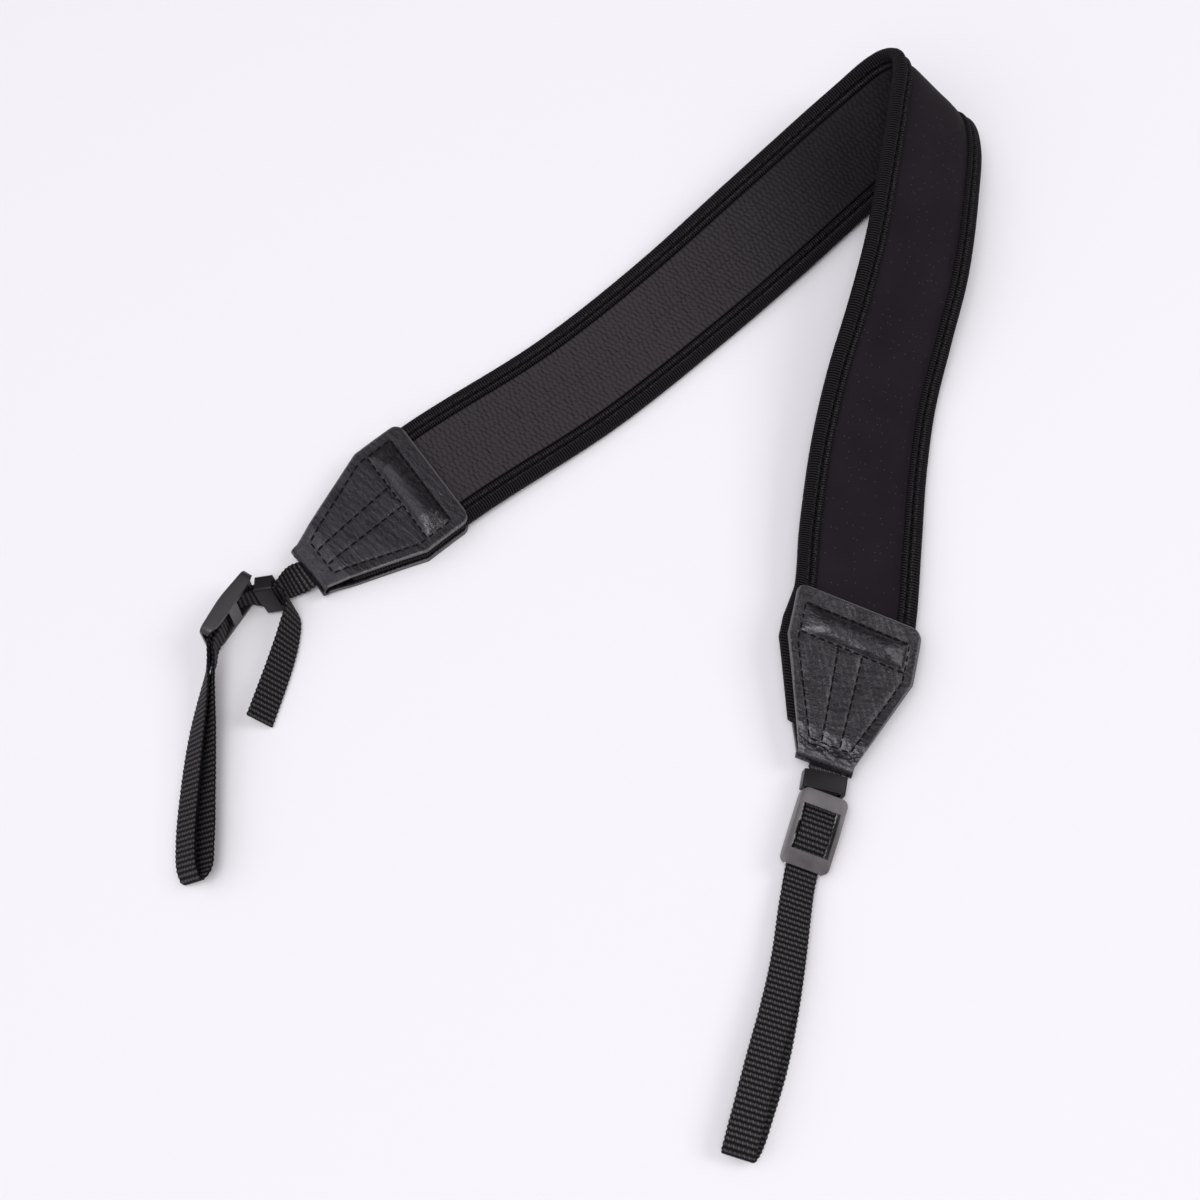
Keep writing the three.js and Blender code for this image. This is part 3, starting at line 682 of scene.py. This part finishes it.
def makeBindingStitches(name, side):
    paths = []
    normals = []
    first = placeInCap("left", -binding["fromCap"])
    starts = np.arange(first, placeInCap("right", -binding["fromCap"]), binding["stitchPitch"])
    bend = np.linspace(0, 1, stitch["points"])
    places = (starts[:, None] + bend * binding["stitchLength"]).ravel()
    line = side * (halfAt(places, side) - binding["grooveAt"])
    rise = np.tile(binding["thread"] * (1 - binding["stitchDive"] * (2 * bend - 1) ** 4), len(starts))
    shape = (len(starts), stitch["points"], 3)
    for face in (1, -1):
        lift = face * (binding["grooveOut"] + rise)
        paths.append(pointsOn(band, places, line[:, None], lift[:, None]).reshape(shape))
        normals.append((face * framesOn(band, places)[2]).reshape(shape))
    made = stitchPiece(name, np.vstack(paths), np.vstack(normals), binding["thread"])
    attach(made, "root")


makeBinding("bindingUpper", "binding_upper", 1)
makeBinding("bindingLower", "binding_lower", -1)

# leather end caps: seams as (reach, across) from the wide edge, the first two closing a puffed roll
cap = {
    "step": 0.46, "columns": 78, "rimShares": [0.0, 0.3, 0.55, 0.75, 0.9, 1.0],
    "turnSteps": 6, "slitSteps": 5, "sharp": 50,
    "firstSeam": 5.6, "secondSeam": 15.0, "seamHalf": 17.1,
    "shoulder": 18.2, "lastSeam": 45.3, "lastHalf": 6.5,
    "inner": [((15.0, 4.5), (45.3, 2.6)), ((15.0, -3.4), (45.3, -3.2))],
    "seamWidth": 0.75, "puff": 1.85, "rollBase": 0.2, "rollEnd": 7.0, "panelPuff": 0.1, "marginPuff": 0.1,
    "crease": 0.04, "creaseWaves": [(2.1, 1.1), (-0.6, 1.7)],  # along, across
    "crumple": {"left": 0.03, "right": 0.3}, "crumpleSpan": [42.5, 45.5],
    "crumpleWave": (4, 1.6, 0.8, 0.5),  # along, size and rate of its bend, slant
    "waistFade": 1.5, "backSink": 0.1, "edgeRound": 0.3, "seamShade": 0.36, "rimBand": 0.4,
    "stitchPitch": 2.9, "stitchLength": 2.4, "thread": 0.28, "stitchRise": 0.35, "stitchDive": 20,
}


def capSeams():
    first = cap["firstSeam"]
    last = cap["lastSeam"]
    lines = [
        [(first, cap["seamHalf"]), (first, -cap["seamHalf"])],
        [(cap["secondSeam"], cap["seamHalf"]), (cap["secondSeam"], -cap["seamHalf"])],
        [(last, cap["lastHalf"]), (last, -cap["lastHalf"])],
    ]
    for side in (1, -1):
        wide = side * cap["seamHalf"]
        lines.append([(first, wide), (cap["shoulder"], wide), (last, side * cap["lastHalf"])])
    return lines + [list(line) for line in cap["inner"]]


def seamDistance(reach, across):
    nearest = np.full(reach.shape, 1e3)
    for line in capSeams():
        for (r0, a0), (r1, a1) in zip(line, line[1:]):
            run = np.array([r1 - r0, a1 - a0])
            share = np.clip(((reach - r0) * run[0] + (across - a0) * run[1]) / (run @ run), 0, 1)
            gap = np.hypot(reach - r0 - share * run[0], across - a0 - share * run[1])
            nearest = np.minimum(nearest, gap)
    return nearest


def capLift(end, reach, across, front):
    lift = np.interp(reach, capShape["reach"], capShape["lift"])
    rise = 1 - np.exp(-((seamDistance(reach, across) / cap["seamWidth"]) ** 2))
    inRoll = (reach > cap["firstSeam"]) & (reach < cap["secondSeam"])
    turn = np.clip((reach - cap["firstSeam"]) / (cap["secondSeam"] - cap["firstSeam"]), 0, 1)
    fade = np.clip((cap["seamHalf"] - np.abs(across)) / cap["rollEnd"], 0, 1)
    roll = cap["puff"] * (cap["rollBase"] + (1 - cap["rollBase"]) * (1 - (2 * turn - 1) ** 2) * fade)
    sideLine = np.interp(
        reach, [cap["firstSeam"], cap["shoulder"], cap["lastSeam"]],
        [cap["seamHalf"], cap["seamHalf"], cap["lastHalf"]],
    )
    inside = (np.abs(across) < sideLine) & (reach > cap["firstSeam"]) & (reach < cap["lastSeam"])
    puff = np.where(inside, np.where(inRoll, roll, cap["panelPuff"]), cap["marginPuff"])
    first, second = [np.sin(reach * a + across * b) for a, b in cap["creaseWaves"]]
    run, bend, rate, slant = cap["crumpleWave"]
    wave = np.sin(reach * run + bend * np.sin(across * rate) + across * slant)
    crumple = wave * np.interp(reach, cap["crumpleSpan"], [0, 1])
    folds = cap["crease"] * (first * second) + cap["crumple"][end] * crumple
    near = np.clip((capShape["waist"] - reach) / cap["waistFade"], 0, 1)
    return lift + (near * rise * (puff + folds) if front else -cap["backSink"] * (1 - rise))


def onFlap(end, front, reach, across, offset):  # reach has one value for each row of across
    out = capLift(end, np.broadcast_to(reach[:, None], across.shape), across, front) + offset
    face = capShape["up"][end] * (1 if front else -1)
    return pointsOn(band, placeInCap(end, reach), across + capShape["across"][end], face * out)


def sheetPiece(name, skins, lays, hole, materials):
    # closed sheet from two skins of the same grid, with a wall round its edge and round the hole
    rows, columns = skins[0].shape[:2]
    index = np.arange(rows * columns).reshape(rows, columns)
    cells = np.stack([index[:-1, :-1], index[:-1, 1:], index[1:, 1:], index[1:, :-1]], axis=-1)
    cells = cells[~hole]
    edges = np.concatenate([cells[:, [k, (k + 1) % 4]] for k in range(4)])
    size = rows * columns
    forward = edges[:, 0] * size + edges[:, 1]
    backward = edges[:, 1] * size + edges[:, 0]
    rim = edges[~np.isin(forward, backward)]
    walls = np.stack([rim[:, 1], rim[:, 0], rim[:, 0] + size, rim[:, 1] + size], axis=1)
    quads = np.concatenate([cells, cells[:, ::-1] + size, walls])
    slots = np.concatenate([np.zeros(2 * len(cells), int), np.ones(len(walls), int)])
    points = np.concatenate([skin.reshape(-1, 3) for skin in skins])
    lay = np.concatenate([part.reshape(-1, 3) for part in lays])
    used = np.unique(quads)
    renumber = np.zeros(len(points), int)
    renumber[used] = np.arange(len(used))
    quads = renumber[quads]
    return addPiece(name, points[used], quads, lay[used], materials, [], slots, cap["sharp"])


def makeCap(end):
    waist = capShape["waist"]
    radius = capShape["lift"][-1]
    flat = np.linspace(0, waist, int(waist / cap["step"]) + 1)
    slit = capShape["slitTurn"]
    turns = np.radians(np.concatenate([
        np.linspace(0, 90 - slit, cap["turnSteps"] + 1)[1:],
        np.linspace(90 - slit, 90 + slit, cap["slitSteps"] + 1)[1:],
        np.linspace(90 + slit, 180, cap["turnSteps"] + 1)[1:-1],
    ]))
    slitShare = capShape["slitHalf"] / capShape["half"][-1]
    rim = slitShare + (1 - slitShare) * np.array(cap["rimShares"])
    share = np.concatenate([-rim[::-1], np.linspace(-slitShare, slitShare, cap["columns"])[1:-1], rim])
    skins = []
    lays = []
    for skin in (1, -1):
        shave = np.full(len(share), capShape["thick"] / 2)
        shave[[0, -1]] -= cap["edgeRound"]
        offset = skin * np.tile(shave, (len(flat), 1))
        offset[0] = skin * (capShape["thick"] / 2 - cap["edgeRound"])
        across = capHalf(flat)[:, None] * share
        front = onFlap(end, True, flat, across, offset)
        back = onFlap(end, False, flat, across, offset)
        foldAcross = np.broadcast_to(capShape["half"][-1] * share, (len(turns), len(share)))
        foldReach = waist + (radius + skin * capShape["thick"] / 2) * np.sin(turns)
        foldOut = (radius + skin * shave) * np.cos(turns)[:, None] * capShape["up"][end]
        fold = pointsOn(band, placeInCap(end, foldReach), foldAcross + capShape["across"][end], foldOut)
        skins.append(np.concatenate([front, fold, back[::-1]]))
        run = np.concatenate([flat, waist + radius * turns, 2 * waist + radius * math.pi - flat[::-1]])
        allAcross = np.concatenate([across, foldAcross, across[::-1]])
        rows = np.broadcast_to(flat[:, None], across.shape)
        fromRim = np.minimum(capHalf(flat)[:, None] * (1 - np.abs(share)), rows)
        wearAndRimBand = np.exp(-((fromRim / cap["rimBand"]) ** 2))
        # darker along the seams (dirt and painted shade in the grooves), lighter along the rim, where it
        # goes negative
        shade = np.exp(-((seamDistance(rows, across) / cap["seamShade"]) ** 2)) - wearAndRimBand
        shades = np.concatenate([shade, 0 * foldAcross, shade[::-1]])
        allAlong = np.broadcast_to(run[:, None], allAcross.shape)
        lays.append(np.stack([allAlong, allAcross, shades], axis=-1))
    hole = np.zeros((len(run) - 1, len(share) - 1), bool)
    inner = len(cap["rimShares"]) - 1
    slitRow = len(flat) + cap["turnSteps"] - 1
    hole[slitRow:slitRow + cap["slitSteps"], inner:-inner] = True
    name = "endCap" + end.capitalize()
    made = sheetPiece(name, skins, lays, hole, [leatherFinish, cutEdgeFinish])
    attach(made, "root")
    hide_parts("end_cap_" + end)
    makeCapStitches(end, name + "Stitches")


def makeCapStitches(end, name):
    paths = []
    normals = []
    bend = np.linspace(-0.5, 0.5, stitch["points"])
    rise = cap["thread"] * (cap["stitchRise"] - cap["stitchDive"] * bend**4)
    for line in capSeams():
        for start, stop in zip(line, line[1:]):
            start = np.array(start)
            run = np.array(stop) - start
            length = np.linalg.norm(run)
            count = max(1, round(length / cap["stitchPitch"]))
            middles = (np.arange(count) + 0.5) / count
            places = middles[:, None] + bend * cap["stitchLength"] / length
            spots = start + places.reshape(-1, 1) * run
            offset = (capShape["thick"] / 2 + np.tile(rise, count))[:, None]
            shape = (count, stitch["points"], 3)
            for front in (True, False):
                path = onFlap(end, front, spots[:, 0], spots[:, 1:], offset)
                face = capShape["up"][end] * (1 if front else -1)
                normal = face * framesOn(band, placeInCap(end, spots[:, 0]))[2]
                paths.append(path.reshape(shape))
                normals.append(normal.reshape(shape))
    made = stitchPiece(name, np.vstack(paths), np.vstack(normals), cap["thread"])
    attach(made, "root")


makeCap("left")
makeCap("right")

# where the hardware lies: x, y, z, heading, pitch, roll, face
hardware = {
    "keeper_left": (-101.9, -1.1, 7.6, 4, 12, 78, -1),
    "triglide_left": (-114.3, -6.4, 7.3, 58.5, 0, 90, -1),
    "keeper_right": (66.9, -61.3, 4.9, 79, 0, 8, 1),
    "triglide_right": (63.5, -76.2, 5.4, 71.7, 4, 12, 1),
}

# how the two layers thread a buckle: outer along, outer depth, inner along, inner depth
straightThread = [
    (10.6, -0.3, 10.6, -1.8),
    (7.5, -0.3, 7.5, -1.8),
    (2.2, 1.2, 2.2, -0.3),
    (-2.2, 1.2, -2.2, -0.3),
    (-7.5, -0.3, -7.5, -1.8),
    (-12.2, -0.3, -12.2, -1.8),
]
turnedThread = [
    (7.5, -1.6, 6.4, -2.6),
    (5.3, 0.2, 4.2, -0.9),
    (2.2, 1.2, 1.9, -0.25),
    (-2.2, 1.0, -2.2, -0.5),
    (-7.5, -0.9, -7.5, -2.4),
    (-12.2, -1.9, -12.2, -3.4),
]

# free runs of the webbing: x, y, z, swing, rise
leftLoop = [
    (-119.3, -22.6, 7.0, 0, 84),
    (-120.1, -31.0, 6.4, 0, 68),
    (-121.6, -45.0, 5.4, 0, 54),
    (-122.6, -62.0, 4.7, 0, 47),
    (-122.7, -80.0, 4.4, 0, 45),
    (-121.6, -88.0, 4.4, 0, 45),
    (-119.8, -91.0, 4.4, 0, 45),
    (-117.6, -88.4, 4.4, 0, 45),
    (-117.2, -80.0, 4.4, 0, 45),
    (-117.9, -62.0, 4.7, 0, 47),
    (-118.4, -45.0, 5.4, 0, 54),
    (-118.5, -31.0, 6.4, 0, 68),
    (-117.75, -22.4, 7.0, 0, 84),
]
leftTail = [
    (-97.2, -1.7, 6.8, 125, 76),
    (-95.0, -6.2, 5.8, 150, 66),
    (-95.6, -12.4, 5.1, 158, 55),
    (-97.6, -21.3, 4.4, 162, 47),
    (-103.3, -41.2, 3.9, 164, 42),
]
leftTwist = [(-95.8, 3.6, 5.6, 124, 45)]
rightLoop = [
    (57.4, -96.9, 4.8, 162, 9),
    (54.1, -115.3, 6.3, 163, 6),
    (50.6, -129.0, 7.3, 163, 5),
    (46.6, -142.0, 7.9, 163, 5),
    (42.8, -155.0, 7.9, 163, 4),
    (39.6, -166.0, 7.2, 163, 3),
    (38.7, -169.8, 4.2, 163, 2),
    (40.8, -167.0, 1.4, 163, 2),
    (44.6, -157.0, 0.9, 163, 1),
    (48.6, -145.0, 0.9, 163, 1),
    (52.0, -131.0, 0.9, 163, 1),
    (55.0, -115.0, 0.9, 163, 2),
    (57.6, -98.0, 2.1, 162, 8),
]
rightTail = [(50.2, 3.8), (45, 4.6), (37, 5.1)]  # reach in the cap, drop below the band's middle

# woven webbing
webbing = {
    "half": 4.92, "core": 0.4, "float": 0.22, "edge": 0.7, "scallop": 0.13, "scallopPower": 8,
    "yarns": 14, "yarnSteps": 3, "rowPitch": 1.55, "rowSteps": 6, "sharp": 80,
    "under": 0.71, "slant": 0.3, "valley": 0.45,
    "inCap": [43, 47, 51], "across": {"left": 0.0, "right": -1.5}, "mouth": 3.15, "layer": 0.75,
}


def axesOf(name):
    x, y, z, heading, pitch, roll, face = hardware[name]
    turn = math.radians(heading)
    level = Vector((-math.sin(turn), math.cos(turn), 0))
    along = Quaternion(level, -math.radians(pitch)) @ Vector((level.y, -level.x, 0))
    across = Quaternion(along, math.radians(roll)) @ level
    return Vector((x, y, z)), along, across, along.cross(across) * face


def threaded(name, along, depth):
    centre, forward, across, front = axesOf(name)
    return np.array([*(centre + forward * along + front * depth), *across])


def inCap(end, reach, drop):
    centre, rib, normal = framesOn(band, placeInCap(end, reach))
    return np.concatenate([(centre + rib * webbing["across"][end] + normal * drop)[0], rib[0]])


def webbingRoute(end, thread, twist, loop, tail):
    keeper = "keeper_" + end
    glide = "triglide_" + end
    mouth = webbing["mouth"]
    layer = webbing["layer"]
    rows = [inCap(end, reach, 0) for reach in webbing["inCap"]]
    rows += list(twist)
    rows += [threaded(keeper, mouth, layer), threaded(keeper, -mouth, layer)]
    rows += [threaded(glide, row[0], row[1]) for row in thread]
    rows += list(layRows(loop))
    rows += [threaded(glide, row[2], row[3]) for row in reversed(thread)]
    rows += [threaded(keeper, -mouth, -layer), threaded(keeper, mouth, -layer)]
    rows += list(tail)
    return makeRoute(np.array(rows))


def weave(s, share, face):  # rows across the width, every second yarn raised, share runs from 0 to 1
    place = share * webbing["yarns"]
    number = np.clip(np.floor(place), 0, webbing["yarns"] - 1)
    dome = np.sin(math.pi * (place - number))
    row = s / webbing["rowPitch"] + webbing["slant"] * (place - number - 0.5)
    ridge = 0.5 + 0.5 * np.cos(2 * math.pi * row)
    raised = 0.5 + 0.5 * face * np.cos(math.pi * (np.round(row) + number))
    raised = webbing["under"] + (1 - webbing["under"]) * raised
    return ridge * raised * (webbing["valley"] + (1 - webbing["valley"]) * dome)


def makeWebbing(end, route):
    length = route["knots"][-1]
    s = np.linspace(0, length, int(length / webbing["rowPitch"] * webbing["rowSteps"]) + 1)[:, None]
    share = np.linspace(0, 1, webbing["yarns"] * webbing["yarnSteps"] + 1)
    turn = webbing["scallop"] * np.cos(2 * math.pi * s / webbing["rowPitch"])
    middle = 2 * share - 1
    acrossTop = middle * webbing["half"] + turn * middle ** webbing["scallopPower"] * np.sign(share - 0.5)
    fromEdge = (1 - np.abs(middle)) * webbing["half"] / webbing["edge"]
    fall = np.sqrt(np.clip(1 - np.clip(1 - fromEdge, 0, 1) ** 2, 0, 1))
    heights = [weave(s, share, face) * fall for face in (1, -1)]
    top = webbing["core"] * fall + webbing["float"] * heights[0]
    under = -webbing["core"] * fall - webbing["float"] * heights[1]
    across = np.hstack([acrossTop, acrossTop[:, -2:0:-1]])
    out = np.hstack([top, under[:, -2:0:-1]])
    height = np.hstack([heights[0], heights[1][:, -2:0:-1]])
    rings = pointsOn(route, s[:, 0], across, out)
    lay = np.stack([np.broadcast_to(s, across.shape), across, height], axis=-1)
    made = loftPiece("webbing" + end.capitalize(), rings, lay, [webbingFinish], webbing["sharp"])
    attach(made, "root")
    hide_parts("webbing_" + end)


makeWebbing("left", webbingRoute("left", turnedThread, layRows(leftTwist), leftLoop, layRows(leftTail)))
rightEnd = [inCap("right", reach, drop) for reach, drop in rightTail]
makeWebbing("right", webbingRoute("right", straightThread, [], rightLoop, rightEnd))

# moulded keepers and sliding buckles: their solids with every sharp edge rounded
mould = {
    "keeperRound": 0.4, "glideRound": 0.55, "segments": 3, "profile": 0.5,
    "merge": 0.001, "flat": 1.0, "rounded": 26.0, "sharp": 32.0,  # the last three are angles of edges
}


def makeHardware(node, name, rounding, finish):
    source = nodes[node]
    built = bmesh.new()
    built.from_mesh(source.data)
    built.transform(source.matrix_world)
    bmesh.ops.remove_doubles(built, verts=built.verts, dist=mould["merge"] * toMetres)
    flat = math.radians(mould["flat"])
    bmesh.ops.dissolve_limit(built, angle_limit=flat, verts=built.verts, edges=built.edges)
    limit = math.radians(mould["rounded"])
    edges = [edge for edge in built.edges if edge.is_manifold and edge.calc_face_angle() > limit]
    bmesh.ops.bevel(
        built, geom=edges, offset=rounding * toMetres, offset_type="OFFSET", segments=mould["segments"],
        profile=mould["profile"], affect="EDGES", clamp_overlap=True,
    )
    bmesh.ops.triangulate(built, faces=[face for face in built.faces if len(face.verts) > 4])
    mesh = bpy.data.meshes.new(name)
    built.to_mesh(mesh)
    built.free()
    mesh.materials.append(finish)
    mesh.polygons.foreach_set("use_smooth", np.ones(len(mesh.polygons), bool))
    mesh.set_sharp_from_angle(angle=math.radians(mould["sharp"]))
    made = bpy.data.objects.new(name, mesh)
    scene.collection.objects.link(made)
    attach(made, "root")
    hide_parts(node)
    print("made", name, "with", len(mesh.polygons), "faces")


for end in ("left", "right"):
    makeHardware("keeper_" + end, "keeper" + end.capitalize(), mould["keeperRound"], keeperFinish)
    makeHardware("triglide_" + end, "triglide" + end.capitalize(), mould["glideRound"], glideFinish[end])

# pale floor and soft studio light, in metres
studio = {
    "floor": (0.855, 0.83, 0.866), "floorSize": 6.0, "roughness": 0.8, "specular": 0.1,
    "grainScale": 900.0, "grainDepth": 0.03, "grainStrength": 0.15,
    "brightest": (-0.46, -0.24, 0.85),  # where the sky is lightest
    "sky": [
        (0.0, (0.14, 0.137, 0.144)), (0.62, (0.18, 0.176, 0.186)), (0.84, (1.16, 1.14, 1.19)),
        (1.0, (1.45, 1.43, 1.48)),
    ],
    "key": {"place": (2.1, 0.4, 2.2), "aim": (0, 0, 0), "size": 1.6, "power": 28.0},
    "top": {"place": (-0.3, -0.55, 2.0), "aim": (0, 0, 0), "size": 0.9, "power": 15.0},
}


def makeLight(name):
    choice = studio[name]
    data = bpy.data.lights.new(name, "AREA")
    data.energy = choice["power"]
    data.size = choice["size"]
    made = bpy.data.objects.new(name, data)
    made.location = choice["place"]
    made.rotation_mode = "QUATERNION"
    made.rotation_quaternion = (Vector(choice["aim"]) - Vector(choice["place"])).to_track_quat("-Z", "Y")
    scene.collection.objects.link(made)


def makeStudio():
    half = studio["floorSize"] / 2
    mesh = bpy.data.meshes.new("floor")
    corners = [(-half, -half, 0), (half, -half, 0), (half, half, 0), (-half, half, 0)]
    mesh.from_pydata(corners, [], [(0, 1, 2, 3)])
    rough = studio["roughness"]
    finish, tree, shader = newMaterial("paleFloor", studio["floor"], rough, studio["specular"])
    place = addNode(tree, "TexCoord").outputs["Object"]
    grain = noiseNode(tree, place, studio["grainScale"], 2.0)
    bumpNode(tree, shader, grain, studio["grainDepth"], studio["grainStrength"])
    mesh.materials.append(finish)
    floor = bpy.data.objects.new("floor", mesh)
    scene.collection.objects.link(floor)
    world = bpy.data.worlds.new("softAir")
    world.use_nodes = True
    sky = world.node_tree
    aim = addNode(sky, "TexCoord").outputs["Generated"]
    toward = Vector(studio["brightest"]).normalized()
    facing = addNode(sky, "VectorMath", {0: aim}, {1: toward}, operation="DOT_PRODUCT").outputs["Value"]
    tone = rampNode(sky, facing, studio["sky"])
    sky.links.new(tone, sky.nodes["Background"].inputs["Color"])
    scene.world = world
    makeLight("key")
    makeLight("top")
    scene.view_settings.view_transform = "Standard"


makeStudio()
print("studio set")
